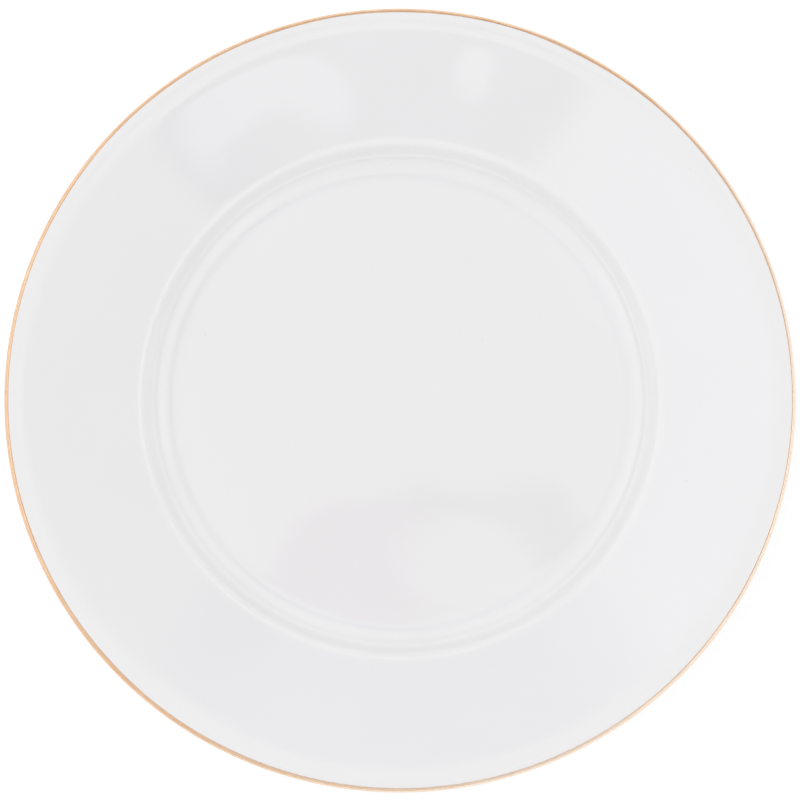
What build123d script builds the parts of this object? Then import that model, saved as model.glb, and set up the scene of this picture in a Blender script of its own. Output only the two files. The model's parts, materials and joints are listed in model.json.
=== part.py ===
"""Wide-rimmed porcelain dinner plate with a gold line on its lip.

The plate is modelled as it is made: a clay body with a foot ring, fired once, then a coat of
glaze over everything but the foot ring's toe, then a fired gold line over the lip. The toe is
wiped bare before the glaze firing, so the glaze is two separate skins: one outside the foot
ring and one inside it.

The origin is the centre of the foot ring's toe, on the table. +Z is up, and the plate is
round about Z. All sizes are in millimetres.
"""

import os
from math import asin, atan2, cos, degrees, dist, radians, sin, sqrt, tan

from build123d import *

# Overall sizes of the finished plate.
PLATE_DIAMETER = 270.0  # over the gold line
PLATE_HEIGHT = 22.0  # from the table to the top of the gold line

# Coats on the body.
GLAZE_THICKNESS = 0.3
GLAZE_LINE_HEIGHT = 1.3  # the glaze stops this far above the table
GOLD_THICKNESS = 0.1
GOLD_FACE_WIDTH = 1.5  # seen from above
GOLD_BACK_WIDTH = 1.0  # seen from below

# Well: a flat floor, a hollow bend, a wall and a shoulder.
WELL_DIAMETER = 155.0  # of the flat floor
WELL_DEPTH = 7.4  # from the floor up to the shoulder's corner
WELL_BEND_RADIUS = 11.0
WALL_ANGLE = 52.0  # degrees above the table
SHOULDER_RADIUS = 4.5

# Rim and lip.
LIP_THICKNESS = 2.8  # with its glaze, without its gold
LIP_ROLL_WIDTH = 5.0  # the last stretch of the rim, which flattens out towards the lip
LIP_ROLL_ANGLE = 3.0  # degrees above the table
LIP_ROLL_RADIUS = 30.0

# Thickness of the body, without its glaze.
WALL_THICKNESS = 3.4
FLOOR_THICKNESS = 4.0

# Foot ring. Its toe stands inside the well of another plate below.
FOOT_DEPTH = 2.6  # from the table up to the glazed base
FOOT_WIDTH = 3.4  # between the toe's corners
FOOT_DRAFT = 15.0  # degrees, on both flanks
FOOT_TOE_RADIUS = 0.8
FOOT_ROOT_RADIUS = 1.4
NESTING_CLEARANCE = 1.5  # from the toe's outer corner to the edge of the floor below

# Bends of the body's back.
BACK_BEND_RADIUS = 8.0
BACK_SHOULDER_RADIUS = 9.0


def below(corner, angle_in, angle_out, distance):
    """The corner of two lines that run this far below two lines that meet at corner."""
    half_turn = radians(angle_out - angle_in) / 2
    down = radians((angle_in + angle_out) / 2 - 90)
    reach = distance / cos(half_turn)
    return (corner[0] + reach * cos(down), corner[1] + reach * sin(down))


def tangent_below(corner, centre, radius):
    """Where a line from corner touches the underside of a circle further out."""
    to_centre = atan2(centre[1] - corner[1], centre[0] - corner[0])
    angle = to_centre - asin(radius / dist(corner, centre))
    reach = sqrt(dist(corner, centre) ** 2 - radius**2)
    return (corner[0] + reach * cos(angle), corner[1] + reach * sin(angle))


# Heights of the body above the table.
base_height = FOOT_DEPTH + GLAZE_THICKNESS
floor_height = base_height + FLOOR_THICKNESS
shoulder_height = floor_height + WELL_DEPTH

# Corners of the body's face, as (radius, height), before they are rounded.
floor_radius = WELL_DIAMETER / 2
bend_radius = floor_radius + WELL_BEND_RADIUS * tan(radians(WALL_ANGLE / 2))
bend = (bend_radius, floor_height)
shoulder = (bend_radius + WELL_DEPTH / tan(radians(WALL_ANGLE)), shoulder_height)
lip_radius = LIP_THICKNESS / 2 - GLAZE_THICKNESS
lip_centre = (
    PLATE_DIAMETER / 2 - GOLD_THICKNESS - LIP_THICKNESS / 2,
    PLATE_HEIGHT - GOLD_THICKNESS - LIP_THICKNESS / 2,
)
lip_face = (
    lip_centre[0] - lip_radius * sin(radians(LIP_ROLL_ANGLE)),
    lip_centre[1] + lip_radius * cos(radians(LIP_ROLL_ANGLE)),
)
roll = (
    lip_face[0] - LIP_ROLL_WIDTH,
    lip_face[1] - LIP_ROLL_WIDTH * tan(radians(LIP_ROLL_ANGLE)),
)
rim_angle = degrees(atan2(roll[1] - shoulder[1], roll[0] - shoulder[0]))

# Corners of the body's back.
back_bend = below(bend, 0, WALL_ANGLE, WALL_THICKNESS)
back_shoulder = below(shoulder, WALL_ANGLE, rim_angle, WALL_THICKNESS)
lip_back = tangent_below(back_shoulder, lip_centre, lip_radius)
toe_outer_radius = floor_radius - NESTING_CLEARANCE
toe_inner_radius = toe_outer_radius - FOOT_WIDTH
foot_flare = tan(radians(FOOT_DRAFT))
root_outer = (toe_outer_radius + back_bend[1] * foot_flare, back_bend[1])
root_inner = (toe_inner_radius - base_height * foot_flare, base_height)


# The body's half section, to the right of the axis.
with BuildSketch(Plane.XZ) as body_section:
    with BuildLine():
        FilletPolyline(
            (0, floor_height),
            bend,
            shoulder,
            roll,
            lip_face,
            radius=(WELL_BEND_RADIUS, SHOULDER_RADIUS, LIP_ROLL_RADIUS),
        )
        ThreePointArc(lip_face, (lip_centre[0] + lip_radius, lip_centre[1]), lip_back)
        FilletPolyline(
            lip_back,
            back_shoulder,
            back_bend,
            root_outer,
            (toe_outer_radius, 0),
            (toe_inner_radius, 0),
            root_inner,
            (0, base_height),
            radius=(
                BACK_SHOULDER_RADIUS,
                BACK_BEND_RADIUS,
                FOOT_ROOT_RADIUS,
                FOOT_TOE_RADIUS,
                FOOT_TOE_RADIUS,
                FOOT_ROOT_RADIUS,
            ),
        )
        Line((0, base_height), (0, floor_height))
    make_face()


def grown_section(thickness):
    """The body's whole section, on both sides of the axis, under a coat of this thickness."""
    with BuildSketch() as grown:
        add(body_section.sketch_local)
        mirror(about=Plane.YZ)
        offset(amount=thickness)
    return grown.sketch_local


# The glaze's half section: two faces, parted by the bare toe.
with BuildSketch(Plane.XZ) as glaze_section:
    add(grown_section(GLAZE_THICKNESS))
    add(body_section.sketch_local, mode=Mode.SUBTRACT)
    Rectangle(PLATE_DIAMETER, 2 * GLAZE_LINE_HEIGHT, mode=Mode.SUBTRACT)
    split(bisect_by=Plane.YZ, keep=Keep.TOP)

# The gold's half section, a thin cap over the lip.
with BuildSketch(Plane.XZ) as gold_section:
    with Locations((PLATE_DIAMETER / 2, lip_centre[1])):
        Rectangle(GOLD_FACE_WIDTH, PLATE_HEIGHT, align=(Align.MAX, Align.MIN))
        Rectangle(GOLD_BACK_WIDTH, PLATE_HEIGHT, align=(Align.MAX, Align.MAX))
    add(grown_section(GLAZE_THICKNESS + GOLD_THICKNESS), mode=Mode.INTERSECT)
    add(grown_section(GLAZE_THICKNESS), mode=Mode.SUBTRACT)

base_glaze_section, outer_glaze_section = glaze_section.sketch.faces().sort_by(Axis.X)


# The clay body: well, wall, rim, lip and foot ring in one piece.
with BuildPart() as porcelain_body:
    revolve(body_section.sketch, axis=Axis.Z)

# The glaze over the face, the lip and the back, down to the foot ring's outer flank.
with BuildPart() as outer_glaze:
    revolve(outer_glaze_section, axis=Axis.Z)

# The glaze over the base and the foot ring's inner flank.
with BuildPart() as base_glaze:
    revolve(base_glaze_section, axis=Axis.Z)

# The gold line over the lip.
with BuildPart() as gold_line:
    revolve(gold_section.sketch, axis=Axis.Z)


os.makedirs("parts", exist_ok=True)
pieces = {
    "porcelain_body": porcelain_body,
    "outer_glaze": outer_glaze,
    "base_glaze": base_glaze,
    "gold_line": gold_line,
}
for name, piece in pieces.items():
    piece.part.label = name
    export_step(piece.part, f"parts/{name}.step")
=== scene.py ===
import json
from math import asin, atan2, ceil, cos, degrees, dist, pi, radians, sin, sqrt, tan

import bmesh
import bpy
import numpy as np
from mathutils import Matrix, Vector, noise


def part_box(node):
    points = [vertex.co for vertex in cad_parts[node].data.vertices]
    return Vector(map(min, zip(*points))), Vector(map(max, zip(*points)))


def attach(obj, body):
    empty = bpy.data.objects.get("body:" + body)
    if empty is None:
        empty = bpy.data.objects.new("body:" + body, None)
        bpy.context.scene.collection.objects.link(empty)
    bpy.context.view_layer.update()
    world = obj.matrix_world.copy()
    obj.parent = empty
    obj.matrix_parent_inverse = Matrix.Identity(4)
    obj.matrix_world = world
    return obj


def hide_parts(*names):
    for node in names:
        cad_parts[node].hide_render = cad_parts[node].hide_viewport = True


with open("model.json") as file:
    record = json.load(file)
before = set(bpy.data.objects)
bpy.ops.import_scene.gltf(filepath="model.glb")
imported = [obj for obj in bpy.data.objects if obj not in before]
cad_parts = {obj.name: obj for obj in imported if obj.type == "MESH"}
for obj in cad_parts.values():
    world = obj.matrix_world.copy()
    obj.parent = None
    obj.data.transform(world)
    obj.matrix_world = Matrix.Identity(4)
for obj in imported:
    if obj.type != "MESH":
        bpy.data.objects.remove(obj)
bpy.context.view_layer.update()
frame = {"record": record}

# Looks of a wide-rimmed porcelain dinner plate with a gold line on its lip.
#
# Every piece is turned about Z from one section, the same as the CAD model's, and carries the
# small unevenness that firing, glazing and lining by hand leave. Lengths are in metres and
# angles in radians, unless a name or comment says otherwise.

# Sizes that the frame gives.
BODY_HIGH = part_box("porcelain_body")[1]
GLAZE_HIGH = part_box("outer_glaze")[1]
BASE_LOW, BASE_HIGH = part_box("base_glaze")
GOLD_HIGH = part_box("gold_line")[1]
MOUNTS = {mount["name"]: mount for mount in frame["record"]["mounts"]}
PLATE_RADIUS = GOLD_HIGH.x
PLATE_HEIGHT = GOLD_HIGH.z
GLAZE_THICKNESS = GLAZE_HIGH.z - BODY_HIGH.z
GOLD_THICKNESS = GOLD_HIGH.z - GLAZE_HIGH.z
GLAZE_LINE_HEIGHT = BASE_LOW.z
BASE_HEIGHT = BASE_HIGH.z
FLOOR_HEIGHT = MOUNTS["well_floor"]["pos_m"][2] - GLAZE_THICKNESS

# Sizes of the section, as in the CAD model.
WELL_RADIUS = 0.0775
WELL_DEPTH = 0.0074
WELL_BEND_RADIUS = 0.011
WALL_ANGLE = radians(52)
SHOULDER_RADIUS = 0.0045
LIP_RADIUS = 0.0011
LIP_ROLL_WIDTH = 0.005
LIP_ROLL_ANGLE = radians(3)
LIP_ROLL_RADIUS = 0.030
WALL_THICKNESS = 0.0034
FOOT_WIDTH = 0.0034
FOOT_DRAFT = radians(15)
FOOT_TOE_RADIUS = 0.0008
FOOT_ROOT_RADIUS = 0.0014
NESTING_CLEARANCE = 0.0015
BACK_BEND_RADIUS = 0.008
BACK_SHOULDER_RADIUS = 0.009
GOLD_FACE_WIDTH = 0.0015
GOLD_BACK_WIDTH = 0.0010

# Unevenness of the making.
RIM_WARP = 0.00010  # how far firing lifts and drops the lip, in two waves round the plate
RIM_WARP_TURN = 0.7
GLAZE_SWELL = 0.000022  # how much the glaze's thickness comes and goes
GLAZE_SWELL_LENGTH = 0.024
GLAZE_NOSE = 0.00035  # the rounded edge of the glaze above the bare toe
GLAZE_BEAD = 0.14  # how much thicker the glaze is just above that edge, as a share
GLAZE_BEAD_PLACE = 0.0009  # how far above the edge it is thickest
GLAZE_BEAD_WIDTH = 0.0006
GLAZE_LINE_WANDER = 0.00016  # how far that edge strays from a true circle
GLAZE_LINE_WAVES = 34
GLAZE_LINE_REACH = 0.0006  # how far above the edge the skin follows it
GOLD_WANDER = 0.00013  # how far the brush strays from a true circle
GOLD_FACE_WAVES = 18
GOLD_BACK_WAVES = 22
GOLD_RAGGEDNESS = 0.00003
GOLD_RAGGED_WAVES = 420
GOLD_FEATHER = 0.16  # share of the line's width over which its edge thins out
GOLD_EDGE_THICKNESS = 0.000012
GOLD_OVERLAP_ANGLE = radians(62)  # where the brush came round to its own start
GOLD_OVERLAP_LENGTH = radians(5)
GOLD_OVERLAP_WIDTH = 0.00022

# Places in the noise, which give each wandering edge its own shape.
OUTER_LINE_KEY = 2.3
INNER_LINE_KEY = 6.4
GOLD_FACE_KEY = 1.7
GOLD_RAGGED_KEY = 4.2
GOLD_BACK_KEY = 8.1

# How finely the meshes are divided: the longest step and the largest turn from ring to ring,
# and the number of points in a ring.
HIDDEN_RINGS = (0.006, radians(12))  # where a coat covers the surface
BARE_RINGS = (0.0003, radians(8))  # at the bare toe
GLAZE_RINGS = (0.0022, radians(5))
NOSE_RINGS = 9
GOLD_RINGS = 30
BODY_POINTS = 360
GLAZE_POINTS = 512
GOLD_POINTS = 1080
NOSE_CLEARANCE = 0.0001  # from the glaze's nose to the next ring of the skin
UNDER_CLEARANCE = 0.0004  # from the glaze's edge to the first ring of its underside


# The section, as a line from the axis over the face, round the lip and back under the plate.


def heading(start, end):
    """Direction from start to end, as an angle above the table."""
    return atan2(end[1] - start[1], end[0] - start[0])


def below(corner, angle_in, angle_out, distance):
    """The corner of two lines that run this far below two lines that meet at corner."""
    down = (angle_in + angle_out) / 2 - pi / 2
    reach = distance / cos((angle_out - angle_in) / 2)
    return (corner[0] + reach * cos(down), corner[1] + reach * sin(down))


def tangent_below(corner, centre, radius):
    """Where a line from corner touches the underside of a circle further out."""
    angle = heading(corner, centre) - asin(radius / dist(corner, centre))
    reach = sqrt(dist(corner, centre) ** 2 - radius**2)
    return (corner[0] + reach * cos(angle), corner[1] + reach * sin(angle))


def arc(start, heading_in, turn, radius):
    """Rows of (radius, height, heading) along an arc, a degree or less apart."""
    side = radius if turn > 0 else -radius
    rows = []
    for share in np.linspace(0, 1, ceil(degrees(abs(turn))) + 1):
        now = heading_in + turn * share
        across = start[0] + side * (sin(now) - sin(heading_in))
        up = start[1] - side * (cos(now) - cos(heading_in))
        rows.append((across, up, now))
    return rows


def rounded(corners, radii):
    """Rows of (radius, height, heading) along a line whose corners have these radii."""
    rows = [(*corners[0], heading(corners[0], corners[1]))]
    for before, corner, after, radius in zip(corners, corners[1:], corners[2:], radii):
        heading_in = heading(before, corner)
        turn = (heading(corner, after) - heading_in + pi) % (2 * pi) - pi
        reach = radius * tan(abs(turn) / 2)
        start = (corner[0] - reach * cos(heading_in), corner[1] - reach * sin(heading_in))
        rows += arc(start, heading_in, turn, radius)
    rows.append((*corners[-1], heading(corners[-2], corners[-1])))
    return rows


def section_rows():
    """Rows of (radius, height, heading) round the body's whole half section."""
    bend_radius = WELL_RADIUS + WELL_BEND_RADIUS * tan(WALL_ANGLE / 2)
    bend = (bend_radius, FLOOR_HEIGHT)
    shoulder = (bend_radius + WELL_DEPTH / tan(WALL_ANGLE), FLOOR_HEIGHT + WELL_DEPTH)
    lip_centre = (BODY_HIGH.x - LIP_RADIUS, BODY_HIGH.z - LIP_RADIUS)
    lip_face = (
        lip_centre[0] - LIP_RADIUS * sin(LIP_ROLL_ANGLE),
        lip_centre[1] + LIP_RADIUS * cos(LIP_ROLL_ANGLE),
    )
    roll = (
        lip_face[0] - LIP_ROLL_WIDTH,
        lip_face[1] - LIP_ROLL_WIDTH * tan(LIP_ROLL_ANGLE),
    )
    back_bend = below(bend, 0, WALL_ANGLE, WALL_THICKNESS)
    back_shoulder = below(shoulder, WALL_ANGLE, heading(shoulder, roll), WALL_THICKNESS)
    lip_back = tangent_below(back_shoulder, lip_centre, LIP_RADIUS)
    toe_outer = WELL_RADIUS - NESTING_CLEARANCE
    toe_inner = toe_outer - FOOT_WIDTH
    root_outer = (toe_outer + back_bend[1] * tan(FOOT_DRAFT), back_bend[1])
    root_inner = (toe_inner - BASE_HEIGHT * tan(FOOT_DRAFT), BASE_HEIGHT)
    face = rounded(
        [(0, FLOOR_HEIGHT), bend, shoulder, roll, lip_face],
        [WELL_BEND_RADIUS, SHOULDER_RADIUS, LIP_ROLL_RADIUS],
    )
    lip_turn = heading(back_shoulder, lip_back) - pi - LIP_ROLL_ANGLE
    lip = arc(lip_face, LIP_ROLL_ANGLE, lip_turn, LIP_RADIUS)
    back = rounded(
        [
            lip_back,
            back_shoulder,
            back_bend,
            root_outer,
            (toe_outer, 0),
            (toe_inner, 0),
            root_inner,
            (0, BASE_HEIGHT),
        ],
        [
            BACK_SHOULDER_RADIUS,
            BACK_BEND_RADIUS,
            FOOT_ROOT_RADIUS,
            FOOT_TOE_RADIUS,
            FOOT_TOE_RADIUS,
            FOOT_ROOT_RADIUS,
        ],
    )
    return face + lip[1:] + back[1:]


class Section:
    """The body's half section, read by how far along its line a place is."""

    def __init__(self, rows):
        self.radius, self.height, turned = np.array(rows).T
        self.heading = np.unwrap(turned)
        steps = np.hypot(np.diff(self.radius), np.diff(self.height))
        self.along = np.concatenate([[0], np.cumsum(steps)])

    def surface(self, along, thickness):
        """Radius and height of places under a coat of this thickness."""
        turned = np.interp(along, self.along, self.heading)
        radius = np.interp(along, self.along, self.radius) - thickness * np.sin(turned)
        height = np.interp(along, self.along, self.height) + thickness * np.cos(turned)
        return radius, height

    def crossings(self, values, level):
        """How far along the line these values pass through this level."""
        beyond = values > level
        found = np.nonzero(beyond[1:] != beyond[:-1])[0]
        share = (level - values[found]) / (values[found + 1] - values[found])
        return self.along[found] + share * (self.along[found + 1] - self.along[found])

    def rings(self, start, end, spacing, turn):
        """Places from start to end, no further apart than this spacing and this turn."""
        inside = (self.along > start) & (self.along < end)
        along = np.concatenate([[start], self.along[inside], [end]])
        turned = np.interp(along, self.along, self.heading)
        cost = np.maximum(np.diff(along) / spacing, np.abs(np.diff(turned)) / turn)
        total = np.concatenate([[0], np.cumsum(cost)])
        return np.interp(np.linspace(0, total[-1], ceil(total[-1]) + 1), total, along)


SECTION = Section(section_rows())
LINE_END = SECTION.along[-1]
GLAZE_LINE_OUTER, GLAZE_LINE_INNER = SECTION.crossings(SECTION.height, GLAZE_LINE_HEIGHT)[:2]
GOLD_FACE_EDGE = SECTION.crossings(SECTION.radius, PLATE_RADIUS - GOLD_FACE_WIDTH)[0]
GOLD_BACK_EDGE = SECTION.crossings(SECTION.radius, PLATE_RADIUS - GOLD_BACK_WIDTH)[1]


# Meshes turned from the section.


def angles(count):
    """Evenly spaced angles round the plate."""
    return np.arange(count) * (2 * pi / count)


def wander(turned, waves, key):
    """Smooth unevenness from -1 to 1 round the plate, in about this many waves."""
    reach = waves / 4
    return np.array([noise.noise(Vector((reach * cos(a), reach * sin(a), key))) for a in turned])


def warp(radius, turned):
    """How far the fired rim is lifted at each place. The well and foot stay flat."""
    share = np.clip((radius - WELL_RADIUS) / (PLATE_RADIUS - WELL_RADIUS), 0, 1)
    return RIM_WARP * share**2 * np.cos(2 * turned + RIM_WARP_TURN)


def turn_about_axis(radius, height, turned):
    """Points of rings about Z: one row for each ring, one column for each angle."""
    turned = np.broadcast_to(turned, radius.shape)
    lifted = height + warp(radius, turned)
    return np.stack([radius * np.cos(turned), radius * np.sin(turned), lifted], axis=-1)


def swell(points):
    """How much thicker or thinner than usual the glaze is at each point."""
    flat = points.reshape(-1, 3) / GLAZE_SWELL_LENGTH
    values = np.array([noise.noise(Vector(point)) for point in flat])
    return GLAZE_SWELL * values.reshape(points.shape[:-1])


def coat(along, turned):
    """Thickness of a full coat of glaze at each place."""
    along = np.broadcast_to(along, (along.shape[0], len(turned)))
    bare = turn_about_axis(*SECTION.surface(along, 0), turned)
    return GLAZE_THICKNESS + swell(bare)


def make_piece(name, points, looped):
    """A closed mesh of rings of points. Its first and last rings are points, unless looped."""
    rings, count = points.shape[:2]
    if looped:
        vertices = points.reshape(-1, 3)
        starts = [ring * count for ring in range(rings)] + [0]
        faces = []
    else:
        middle = points[1:-1].reshape(-1, 3)
        vertices = np.concatenate([points[0, :1], middle, points[-1, :1]])
        starts = [1 + ring * count for ring in range(rings - 2)]
        last = len(vertices) - 1
        faces = [(0, starts[0] + i, starts[0] + (i + 1) % count) for i in range(count)]
        faces += [(last, starts[-1] + (i + 1) % count, starts[-1] + i) for i in range(count)]
    for here, there in zip(starts, starts[1:]):
        for i in range(count):
            after = (i + 1) % count
            faces.append((here + i, there + i, there + after, here + after))
    mesh = bpy.data.meshes.new(name)
    mesh.from_pydata(vertices.tolist(), [], faces)
    shell = bmesh.new()
    shell.from_mesh(mesh)
    bmesh.ops.recalc_face_normals(shell, faces=shell.faces)
    shell.to_mesh(mesh)
    shell.free()
    mesh.shade_smooth()
    piece = bpy.data.objects.new(name, mesh)
    bpy.context.scene.collection.objects.link(piece)
    return piece


def body_piece():
    """The clay body, bare at the toe of its foot ring and under the glaze elsewhere."""
    turned = angles(BODY_POINTS)
    face = SECTION.rings(0, GLAZE_LINE_OUTER, *HIDDEN_RINGS)
    foot = SECTION.rings(GLAZE_LINE_OUTER, GLAZE_LINE_INNER, *BARE_RINGS)
    base = SECTION.rings(GLAZE_LINE_INNER, LINE_END, *HIDDEN_RINGS)
    along = np.concatenate([face[:-1], foot, base[1:]])[:, None]
    radius, height = SECTION.surface(along, 0)
    radius = np.broadcast_to(radius, (len(along), len(turned)))
    height = np.broadcast_to(height, radius.shape)
    return make_piece("fired_body", turn_about_axis(radius, height, turned), looped=False)


def glaze_piece(name, start, edge, key):
    """One skin of glaze, from the axis at start to the rounded edge near the bare toe."""
    turned = angles(GLAZE_POINTS)
    towards = 1 if start < edge else -1
    span = (min(start, edge), max(start, edge))
    nose = GLAZE_NOSE * (1 - np.cos(np.linspace(0, pi / 2, NOSE_RINGS)))
    from_edge = np.sort(np.abs(edge - SECTION.rings(*span, *GLAZE_RINGS)))
    skin = from_edge[from_edge > GLAZE_NOSE + NOSE_CLEARANCE]
    from_edge = np.concatenate([nose, skin])[::-1]

    # Near its edge the skin follows the wandering glaze line, rounds off and is a little thicker.
    line = GLAZE_LINE_WANDER * wander(turned, GLAZE_LINE_WAVES, key)
    follow = np.exp(-((from_edge / GLAZE_LINE_REACH) ** 2))[:, None]
    along = edge + towards * (line * follow - from_edge[:, None])
    round_off = np.sqrt(1 - (1 - np.clip(from_edge / GLAZE_NOSE, 0, 1)) ** 2)
    bead_shape = np.exp(-(((from_edge - GLAZE_BEAD_PLACE) / GLAZE_BEAD_WIDTH) ** 2))
    bead = 1 + GLAZE_BEAD * bead_shape
    thickness = coat(along, turned) * (round_off * bead)[:, None]
    outside = turn_about_axis(*SECTION.surface(along, thickness), turned)

    from_edge = np.sort(np.abs(SECTION.rings(*span, *HIDDEN_RINGS) - edge))
    under = edge - towards * from_edge[from_edge > UNDER_CLEARANCE][:, None]
    under = np.broadcast_to(under, (len(under), len(turned)))
    inside = turn_about_axis(*SECTION.surface(under, 0), turned)
    return make_piece(name, np.concatenate([outside, inside]), looped=False)


def gold_piece():
    """The fired gold line, thin at its edges, with the brush's small wanderings."""
    turned = angles(GOLD_POINTS)
    overlap = np.exp(-(((turned - GOLD_OVERLAP_ANGLE) / GOLD_OVERLAP_LENGTH) ** 2))
    stray = GOLD_WANDER * wander(turned, GOLD_FACE_WAVES, GOLD_FACE_KEY)
    stray += GOLD_RAGGEDNESS * wander(turned, GOLD_RAGGED_WAVES, GOLD_RAGGED_KEY)
    face_edge = GOLD_FACE_EDGE + stray - GOLD_OVERLAP_WIDTH * overlap
    back_edge = GOLD_BACK_EDGE + GOLD_WANDER * wander(turned, GOLD_BACK_WAVES, GOLD_BACK_KEY)
    share = np.linspace(0, 1, GOLD_RINGS)[:, None]
    along = face_edge + share * (back_edge - face_edge)
    from_edge = np.clip(np.minimum(share, 1 - share) / GOLD_FEATHER, 0, 1)
    feather = from_edge**2 * (3 - 2 * from_edge)
    film = GOLD_EDGE_THICKNESS + (GOLD_THICKNESS - GOLD_EDGE_THICKNESS) * feather
    under = coat(along, turned)
    outside = turn_about_axis(*SECTION.surface(along, under + film), turned)
    inside = turn_about_axis(*SECTION.surface(along, under), turned)
    return make_piece("gold_lining", np.concatenate([outside, inside[::-1]]), looped=True)


# Materials.


class Nodes:
    """A node tree while it is being made."""

    def __init__(self, tree):
        self.tree = tree

    def add(self, kind, **settings):
        """A new node. Settings are its own, or its inputs' values by their names."""
        node = self.tree.nodes.new("ShaderNode" + kind)
        for key, value in settings.items():
            if hasattr(node, key):
                setattr(node, key, value)
            else:
                self.feed(node.inputs[key.replace("_", " ").title()], value)
        return node

    def feed(self, socket, value):
        """Gives a socket a value, or joins another node's output to it."""
        if isinstance(value, bpy.types.NodeSocket):
            self.tree.links.new(value, socket)
        else:
            socket.default_value = value

    def math(self, operation, first, second=0.0):
        """The outcome of a sum, or of a function that takes only the first value."""
        node = self.add("Math", operation=operation)
        self.feed(node.inputs[0], first)
        self.feed(node.inputs[1], second)
        return node.outputs[0]

    def spread(self, value, low, high, new_low, new_high):
        """The value, spread from one range over another and kept inside it."""
        node = self.add("MapRange", clamp=True)
        for socket, given in zip(node.inputs, (value, low, high, new_low, new_high)):
            self.feed(socket, given)
        return node.outputs[0]

    def mix(self, share, first, second):
        """One colour turning into another."""
        node = self.add("Mix", data_type="RGBA")
        self.feed(node.inputs["Factor"], share)
        self.feed(node.inputs[6], first)
        self.feed(node.inputs[7], second)
        return node.outputs[2]

    def split(self, vector):
        """The three parts of a vector."""
        node = self.add("SeparateXYZ")
        self.feed(node.inputs[0], vector)
        return node.outputs

    def choose(self, share, first, second):
        """One shader turning into another."""
        node = self.add("MixShader")
        for socket, given in zip(node.inputs, (share, first, second)):
            self.feed(socket, given)
        return node.outputs[0]

    def bump(self, height, distance, below=None):
        """Relief of this depth, on top of another relief."""
        node = self.add("Bump", strength=1.0)
        self.feed(node.inputs["Distance"], distance)
        self.feed(node.inputs["Height"], height)
        if below:
            self.feed(node.inputs["Normal"], below)
        return node.outputs["Normal"]


class Finish(Nodes):
    """A piece's material while it is being made."""

    def __init__(self, name):
        self.material = bpy.data.materials.new(name)
        self.material.use_nodes = True
        super().__init__(self.material.node_tree)
        self.surface = self.tree.nodes["Principled BSDF"]
        self.place = self.add("TexCoord").outputs["Object"]

    def set(self, name, value):
        """Gives one of the surface's inputs a value, or joins it to another node's output."""
        self.feed(self.surface.inputs[name], value)

    def grain(self, size, detail=2.0, place=None):
        """Soft noise from 0 to 1, with features of about this size."""
        node = self.add("TexNoise", scale=1 / size, detail=detail)
        self.feed(node.inputs["Vector"], place or self.place)
        return node.outputs["Fac"]

    def polar(self):
        """How far from the axis a place is, how far round it, and how high."""
        across, along, up = self.split(self.place)
        squares = self.math("ADD", self.math("MULTIPLY", across, across),
                            self.math("MULTIPLY", along, along))
        return self.math("SQRT", squares), self.math("ARCTAN2", along, across), up

    def rings(self, radius, spacing):
        """A wave from -1 to 1, in rings this far apart."""
        return self.math("SINE", self.math("MULTIPLY", radius, 2 * pi / spacing))


BLUE_PULL = 1.4  # how much more blue changes than red as a white turns creamier


def white(level, warmth=0.0):
    """A near-white colour; positive warmth is creamier, negative is bluer."""
    return (level * (1 + warmth), level, level * (1 - BLUE_PULL * warmth), 1.0)


# Glaze. Ranges are of the noise that turns one look into the other.
GLAZE_WHITE = white(0.831)
# The first ring is the glaze's own cooler pool where the floor ends. The second, whiter on the
# steep wall, is painted light that offsets the wall's shade. The third, a little lighter on the
# shoulder, is a painted highlight.
GLAZE_TONES_AND_PAINTED_LIGHT = (  # rings of colour, partly painted light: radius, half width and colour
    (0.0783, 0.0016, white(0.822, -0.004)),
    (0.0832, 0.0046, white(0.868, 0.002)),
    (0.0896, 0.0018, white(0.840, 0.006)),
)
GLAZE_AND_LIGHT_TONE_CORE = 0.3  # share of the half width that has the whole tone
CLOUD_WHITE = white(0.812, 0.004)
CLOUD_SIZE = 0.045
CLOUD_RANGE = (0.35, 0.65)
CLOUD_SHARE = 0.35
SPECK_COLOUR = (0.42, 0.37, 0.31, 1.0)
SPECK_CELLS = 30.0  # in a metre; most have no speck
SPECK_FREE_SHARE = 0.86
SPECK_CORE = 0.002  # radius of the speck's dark middle, as a share of a cell
SPECK_EDGE = 0.0045
SMUDGE_SIZE = 0.030
SMUDGE_RANGE = (0.45, 0.75)
GLAZE_ROUGHNESS = (0.022, 0.050)
GLAZE_IOR = 1.52
PEEL_SIZE = 0.0035
PEEL_DEPTH = 0.0000016
TOOL_RING_SPACING = 0.0042
TOOL_RING_DEPTH = 0.0000009
TOOL_RING_PATCH = 0.02  # the rings come and go over about this length


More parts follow.
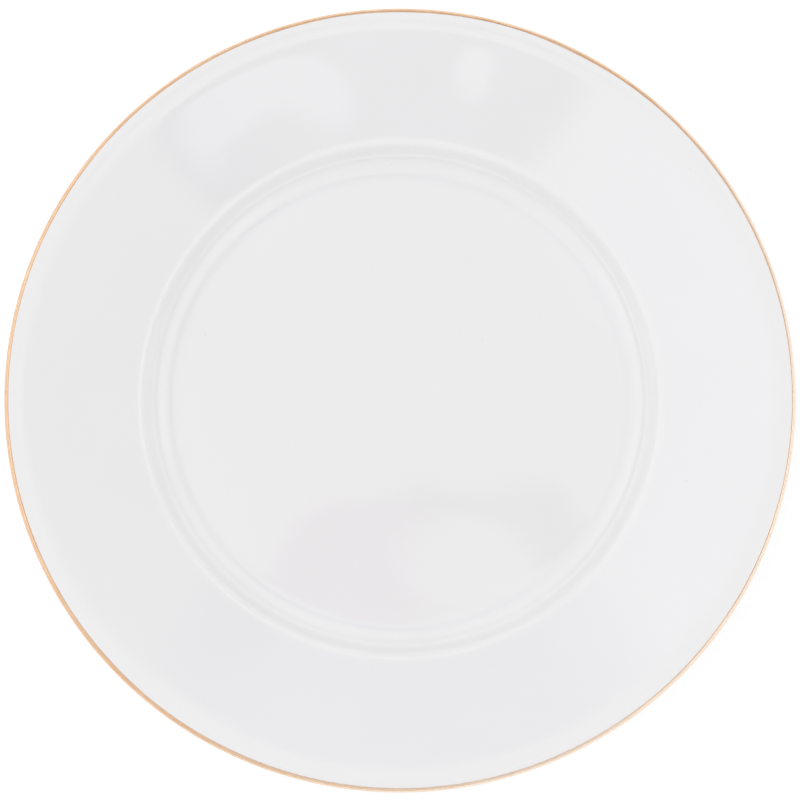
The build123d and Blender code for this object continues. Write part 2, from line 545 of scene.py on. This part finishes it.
def glaze_material():
    """Clear gloss glaze on white porcelain: cooler where it pools, with painted light on the
    well's wall and shoulder, and a faint orange peel.
    """
    finish = Finish("gloss_glaze")
    radius, _, _ = finish.polar()

    # Glaze pools where the floor ends and is cooler there. The steep wall is whiter as painted
    # light against its shade, and the shoulder a little lighter as a painted highlight.
    colour = GLAZE_WHITE
    for middle, half_width, tone in GLAZE_TONES_AND_PAINTED_LIGHT:
        away = finish.math("ABSOLUTE", finish.math("SUBTRACT", radius, middle))
        share = finish.spread(away, GLAZE_AND_LIGHT_TONE_CORE * half_width, half_width, 1.0, 0.0)
        colour = finish.mix(share, colour, tone)

    # The white comes and goes a little, as body and glaze do from place to place.
    cloud = finish.spread(finish.grain(CLOUD_SIZE), *CLOUD_RANGE, 0.0, CLOUD_SHARE)
    colour = finish.mix(cloud, colour, CLOUD_WHITE)

    # A few grey-brown iron specks, each a fraction of a millimetre across.
    cells = finish.add("TexVoronoi", voronoi_dimensions="2D", scale=SPECK_CELLS)
    finish.feed(cells.inputs["Vector"], finish.place)
    chosen = finish.add("SeparateColor")
    finish.feed(chosen.inputs[0], cells.outputs["Color"])
    chosen = finish.math("GREATER_THAN", chosen.outputs[0], SPECK_FREE_SHARE)
    near = finish.spread(cells.outputs["Distance"], SPECK_CORE, SPECK_EDGE, 1.0, 0.0)
    colour = finish.mix(finish.math("MULTIPLY", near, chosen), colour, SPECK_COLOUR)
    finish.set("Base Color", colour)

    # Gloss, dulled a little by handling.
    smudge = finish.grain(SMUDGE_SIZE, detail=4.0)
    finish.set("Roughness", finish.spread(smudge, *SMUDGE_RANGE, *GLAZE_ROUGHNESS))
    finish.set("IOR", GLAZE_IOR)

    # Orange peel, and the faint rings left by the tool that shaped the clay.
    peel = finish.bump(finish.grain(PEEL_SIZE), PEEL_DEPTH)
    rings = finish.rings(radius, TOOL_RING_SPACING)
    rings = finish.math("MULTIPLY", rings, finish.grain(TOOL_RING_PATCH))
    finish.set("Normal", finish.bump(rings, TOOL_RING_DEPTH, peel))
    return finish.material


# Bare clay.
CLAY_COLOURS = ((0.70, 0.665, 0.60, 1.0), (0.60, 0.56, 0.495, 1.0))
GRIT_SIZE = 0.0006
GRIT_RANGE = (0.35, 0.7)
GRIT_DEPTH = 0.00005
WORN_COLOUR = (0.44, 0.42, 0.39, 1.0)
WORN_HEIGHT = 0.00012  # wear fades out by this far above the table
SMEAR_SIZE = 0.012
SMEAR_RANGE = (0.40, 0.62)
SMEAR_SHARE = 0.5
CLAY_ROUGHNESS = (0.85, 0.55)  # as fired, and worn
SCRATCH_SPACING = 0.00035
SCRATCH_DEPTH = 0.00001


def bisque_material():
    """Bare fired clay: matt, a little warm, and ground where it stands on the table."""
    finish = Finish("bare_bisque")
    radius, _, up = finish.polar()
    grit = finish.grain(GRIT_SIZE, detail=4.0)
    colour = finish.mix(finish.spread(grit, *GRIT_RANGE, 0.0, 1.0), *CLAY_COLOURS)

    # Standing and sliding on tables leaves the toe smoother and slightly grey.
    worn = finish.spread(up, 0.0, WORN_HEIGHT, 1.0, 0.0)
    smear = finish.spread(finish.grain(SMEAR_SIZE, detail=3.0), *SMEAR_RANGE, 0.0, SMEAR_SHARE)
    smear = finish.math("MULTIPLY", worn, smear)
    finish.set("Base Color", finish.mix(smear, colour, WORN_COLOUR))
    finish.set("Roughness", finish.spread(worn, 0.0, 1.0, *CLAY_ROUGHNESS))

    grit = finish.bump(grit, GRIT_DEPTH)
    scratches = finish.math("MULTIPLY", finish.rings(radius, SCRATCH_SPACING), smear)
    finish.set("Normal", finish.bump(scratches, SCRATCH_DEPTH, grit))
    return finish.material


# Gold. Its film is thicker or thinner along the brush's streaks, and from patch to patch.
GOLD_COLOURS = ((0.72, 0.46, 0.28, 1.0), (0.80, 0.56, 0.37, 1.0))  # thick film, and thin
STREAK_SIZE = 0.00035
STREAK_SQUEEZE = 0.06  # a streak is as long as its width divided by this
STREAK_SHARE = 0.55
STREAK_DEPTH = 0.000002
GOLD_PATCH_SIZE = 0.011
GOLD_THIN_RANGE = (0.38, 0.62)
GOLD_GLOSS_RANGE = (0.3, 0.7)
GOLD_ROUGHNESS = (0.30, 0.20)
PAINTED_GLARE_SIDE = radians(-35)  # the direction where the painted highlight on the gold is strongest
PAINTED_GLARE_RANGE = (0.0, 0.8)  # cosines of the turn away from there, from plain gold to the most painted highlight
PAINTED_GLARE_SHARE = 0.6
# The pale colour of the painted highlight on the gold.
PAINTED_GLARE_COLOUR = (0.90, 0.82, 0.72, 1.0)


def gold_material():
    """Bright gold, fired on: brush streaks along the line, paler where the film is thin, and a
    painted highlight that makes it paler on the right and in front.
    """
    finish = Finish("fired_gold")
    radius, around, up = finish.polar()
    along_line = finish.math("MULTIPLY", around, PLATE_RADIUS * STREAK_SQUEEZE)
    squeezed = finish.add("CombineXYZ", x=along_line, y=radius, z=up)
    streaks = finish.grain(STREAK_SIZE, detail=3.0, place=squeezed.outputs[0])
    patches = finish.grain(GOLD_PATCH_SIZE, detail=3.0)
    film = finish.math("ADD", finish.math("MULTIPLY", streaks, STREAK_SHARE),
                       finish.math("MULTIPLY", patches, 1 - STREAK_SHARE))
    thin = finish.spread(film, *GOLD_THIN_RANGE, 1.0, 0.0)
    colour = finish.mix(thin, *GOLD_COLOURS)

    # Painted highlight: the line is mixed towards a pale glare colour on the right and in front.
    turned = finish.math("SUBTRACT", around, PAINTED_GLARE_SIDE)
    painted_glare = finish.spread(finish.math("COSINE", turned), *PAINTED_GLARE_RANGE, 0.0, PAINTED_GLARE_SHARE)
    finish.set("Base Color", finish.mix(painted_glare, colour, PAINTED_GLARE_COLOUR))
    finish.set("Metallic", 1.0)
    finish.set("Roughness", finish.spread(film, *GOLD_GLOSS_RANGE, *GOLD_ROUGHNESS))
    finish.set("Normal", finish.bump(streaks, STREAK_DEPTH))
    return finish.material


# The studio: a white floor in a white tent, and a camera.

FLOOR_RADIUS = 9.0
FLOOR_SIDES = 96
FLOOR_GAP = 0.0001  # keeps the floor clear of the toe that stands on it
FLOOR_GLOW = 0.45
FLOOR_WHITE = 0.62
CAMERA_ELEVATION = radians(82.1)
CAMERA_DISTANCE = 1.35
SENSOR_WIDTH = 36.0  # in millimetres, as Blender has it
LINE_SHARE = 0.9845  # the gold line's half width in the frame's half width
NEAREST_SEEN = 0.01

# Brightness in the tent, where 1 makes white paper white.
ROOF_LIGHT = 1.04
WALL_LIGHT = 0.52
SKIRT_GAIN = 1.90  # a bright strip where the walls meet the floor
PANEL_GAIN = 0.55  # bright panels on the upper walls
LEAN_RIGHT = -0.02  # how much brighter the tent is to the right than overhead, as a share
LEAN_BACK = 0.05  # and towards the back
BACKGROUND_LIGHT = 1.05  # behind the floor, in the camera's view

# Where the strip, the walls and the panels end, as sines of angles above the floor.
SKIRT_TOP = 0.14
WALL_TOP = 0.46
PANEL_TOP = 0.84
TENT_BLUR = 0.06
PANELS = 2
PANEL_TURN = radians(-12)
PANEL_BLUR = 0.5
LOWEST_SLOPE = 0.05  # patches end this far above the floor, as a sine
PATCH_SQUARENESS = 3.0  # 2 is an ellipse; more is squarer

# Soft patches overhead, which show in the glaze. Each has its middle, as slopes away from
# straight up to the right and to the back, its half length and half width, how many degrees
# it is turned, how soft its edge is as a share of its size, and the light that it adds.
PATCHES = (
    ((-0.290, 0.130), (0.110, 0.240), 0, 0.50, (0.18, 0.22, 0.36)),
    ((0.300, 0.150), (0.130, 0.300), 0, 0.50, (-0.70, -0.76, -0.72)),
    ((0.000, 0.430), (0.180, 0.080), 0, 0.50, (-0.84, -0.88, -0.70)),
    ((0.040, -0.110), (0.170, 0.075), 0, 0.12, (-0.86, -1.00, -0.92)),
    ((0.113, -0.101), (0.070, 0.009), 25, 0.20, (0.85, 0.95, 1.00)),
    ((-0.059, -0.118), (0.013, 0.006), -12, 0.30, (0.85, 0.95, 0.95)),
    ((0.008, 0.0975), (0.037, 0.0165), 5, 0.06, (-0.90, -0.94, -0.89)),
    ((-0.011, 0.096), (0.019, 0.0165), 5, 0.08, (0.29, -0.03, 0.05)),
    ((0.018, 0.096), (0.016, 0.011), 0, 0.12, (0.78, 0.92, 0.86)),
)


def make_floor():
    """A round white floor, lit and a little luminous, that can be looked through from below."""
    mesh = bpy.data.meshes.new("floor")
    disc = bmesh.new()
    bmesh.ops.create_circle(disc, cap_ends=True, segments=FLOOR_SIDES, radius=FLOOR_RADIUS)
    disc.to_mesh(mesh)
    disc.free()
    floor = bpy.data.objects.new("floor", mesh)
    floor.location.z = -FLOOR_GAP
    bpy.context.scene.collection.objects.link(floor)

    material = bpy.data.materials.new("white_floor")
    material.use_nodes = True
    nodes = Nodes(material.node_tree)
    nodes.tree.nodes.clear()
    glow = nodes.add("Emission", strength=FLOOR_GLOW)
    paint = nodes.add("BsdfDiffuse")
    paint.inputs["Color"].default_value = white(FLOOR_WHITE)
    top = nodes.add("AddShader")
    nodes.feed(top.inputs[0], glow.outputs[0])
    nodes.feed(top.inputs[1], paint.outputs[0])
    underneath = nodes.add("NewGeometry").outputs["Backfacing"]
    clear = nodes.add("BsdfTransparent").outputs[0]
    output = nodes.add("OutputMaterial")
    nodes.feed(output.inputs["Surface"], nodes.choose(underneath, top.outputs[0], clear))
    mesh.materials.append(material)


def patch_share(nodes, right, back, middle, half_sizes, turned, softness):
    """How far a direction is inside a soft-edged patch with rounded corners, from 0 to 1."""
    offset_right = nodes.math("SUBTRACT", right, middle[0])
    offset_back = nodes.math("SUBTRACT", back, middle[1])
    total = 0.0
    for half_size, angle in zip(half_sizes, (radians(turned), radians(turned + 90))):
        share = nodes.math("ADD", nodes.math("MULTIPLY", offset_right, cos(angle) / half_size),
                           nodes.math("MULTIPLY", offset_back, sin(angle) / half_size))
        share = nodes.math("POWER", nodes.math("ABSOLUTE", share), PATCH_SQUARENESS)
        total = nodes.math("ADD", share, total)
    outer = (1 + softness) ** PATCH_SQUARENESS
    return nodes.spread(total, 1 - softness, outer, 1.0, 0.0)


def make_tent():
    """A soft white tent round the plate, with bright panels on its walls."""
    world = bpy.data.worlds.new("tent")
    bpy.context.scene.world = world
    world.use_nodes = True
    nodes = Nodes(world.node_tree)
    nodes.tree.nodes.clear()
    right, back, up = nodes.split(nodes.add("TexCoord").outputs["Generated"])
    climb = nodes.math("MAXIMUM", up, LOWEST_SLOPE)
    right_slope = nodes.math("DIVIDE", right, climb)
    back_slope = nodes.math("DIVIDE", back, climb)

    def band(edge, lower, upper):
        """A value that turns softly into another above this edge."""
        return nodes.spread(up, edge - TENT_BLUR, edge + TENT_BLUR, lower, upper)

    skirt = band(SKIRT_TOP, SKIRT_GAIN, 0.0)
    light = nodes.math("ADD", band(WALL_TOP, WALL_LIGHT, ROOF_LIGHT), skirt)
    around = nodes.math("ADD", nodes.math("ARCTAN2", back, right), -PANEL_TURN)
    panel = nodes.math("COSINE", nodes.math("MULTIPLY", around, PANELS))
    panel = nodes.spread(panel, 0.0, PANEL_BLUR, 0.0, PANEL_GAIN)
    upright = nodes.math("MULTIPLY", band(WALL_TOP, 0.0, 1.0), band(PANEL_TOP, 1.0, 0.0))
    light = nodes.math("ADD", light, nodes.math("MULTIPLY", panel, upright))
    lean = nodes.math("ADD", nodes.math("MULTIPLY", right, LEAN_RIGHT), 1.0)
    lean = nodes.math("ADD", nodes.math("MULTIPLY", back, LEAN_BACK), lean)
    light = nodes.math("MULTIPLY", light, lean)

    for middle, half_sizes, turned, softness, gain in PATCHES:
        patch = nodes.add("VectorMath", operation="MULTIPLY_ADD")
        share = patch_share(nodes, right_slope, back_slope, middle, half_sizes, turned, softness)
        for socket, given in zip(patch.inputs, (share, gain, light)):
            nodes.feed(socket, given)
        light = patch.outputs[0]

    shone = nodes.add("Background", strength=1.0)
    nodes.feed(shone.inputs["Color"], light)
    seen = nodes.add("Background", strength=BACKGROUND_LIGHT)
    seen.inputs["Color"].default_value = (1.0, 1.0, 1.0, 1.0)
    in_view = nodes.add("LightPath").outputs["Is Camera Ray"]
    output = nodes.add("OutputWorld")
    nodes.feed(output.inputs["Surface"], nodes.choose(in_view, shone.outputs[0], seen.outputs[0]))


def make_camera():
    """Looks down at the plate from just in front, with the gold line filling the frame."""
    line_radius = PLATE_RADIUS - GOLD_FACE_WIDTH / 2
    centre = Vector((0, 0, PLATE_HEIGHT))
    back = Vector((0, -cos(CAMERA_ELEVATION), sin(CAMERA_ELEVATION)))
    data = bpy.data.cameras.new("camera")
    camera = bpy.data.objects.new("camera", data)
    camera.location = centre + back * CAMERA_DISTANCE
    near, far = (centre + Vector((0, side * line_radius, 0)) for side in (-1, 1))
    towards = (near - camera.location).normalized() + (far - camera.location).normalized()
    camera.rotation_mode = "QUATERNION"
    camera.rotation_quaternion = towards.to_track_quat("-Z", "Y")
    half_view = line_radius / CAMERA_DISTANCE / LINE_SHARE
    data.sensor_width = SENSOR_WIDTH
    data.lens = SENSOR_WIDTH / 2 / half_view
    data.clip_start, data.clip_end = NEAREST_SEEN, 4 * FLOOR_RADIUS
    bpy.context.scene.collection.objects.link(camera)
    bpy.context.scene.camera = camera


def main():
    """Makes the plate's pieces, each for one CAD node, and the studio round them."""
    glaze = glaze_material()
    pieces = [
        (body_piece(), "porcelain_body", "bisque", bisque_material()),
        (
            glaze_piece("outer_glaze_skin", 0, GLAZE_LINE_OUTER, OUTER_LINE_KEY),
            "outer_glaze", "glaze", glaze,
        ),
        (
            glaze_piece("base_glaze_skin", LINE_END, GLAZE_LINE_INNER, INNER_LINE_KEY),
            "base_glaze", "glaze", glaze,
        ),
        (gold_piece(), "gold_line", "gold", gold_material()),
    ]
    for piece, node, slot, material in pieces:
        piece.data.materials.append(material)
        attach(piece, "root")
        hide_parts(node)

    make_floor()
    make_tent()
    make_camera()
    bpy.context.scene.view_settings.view_transform = "Standard"


main()
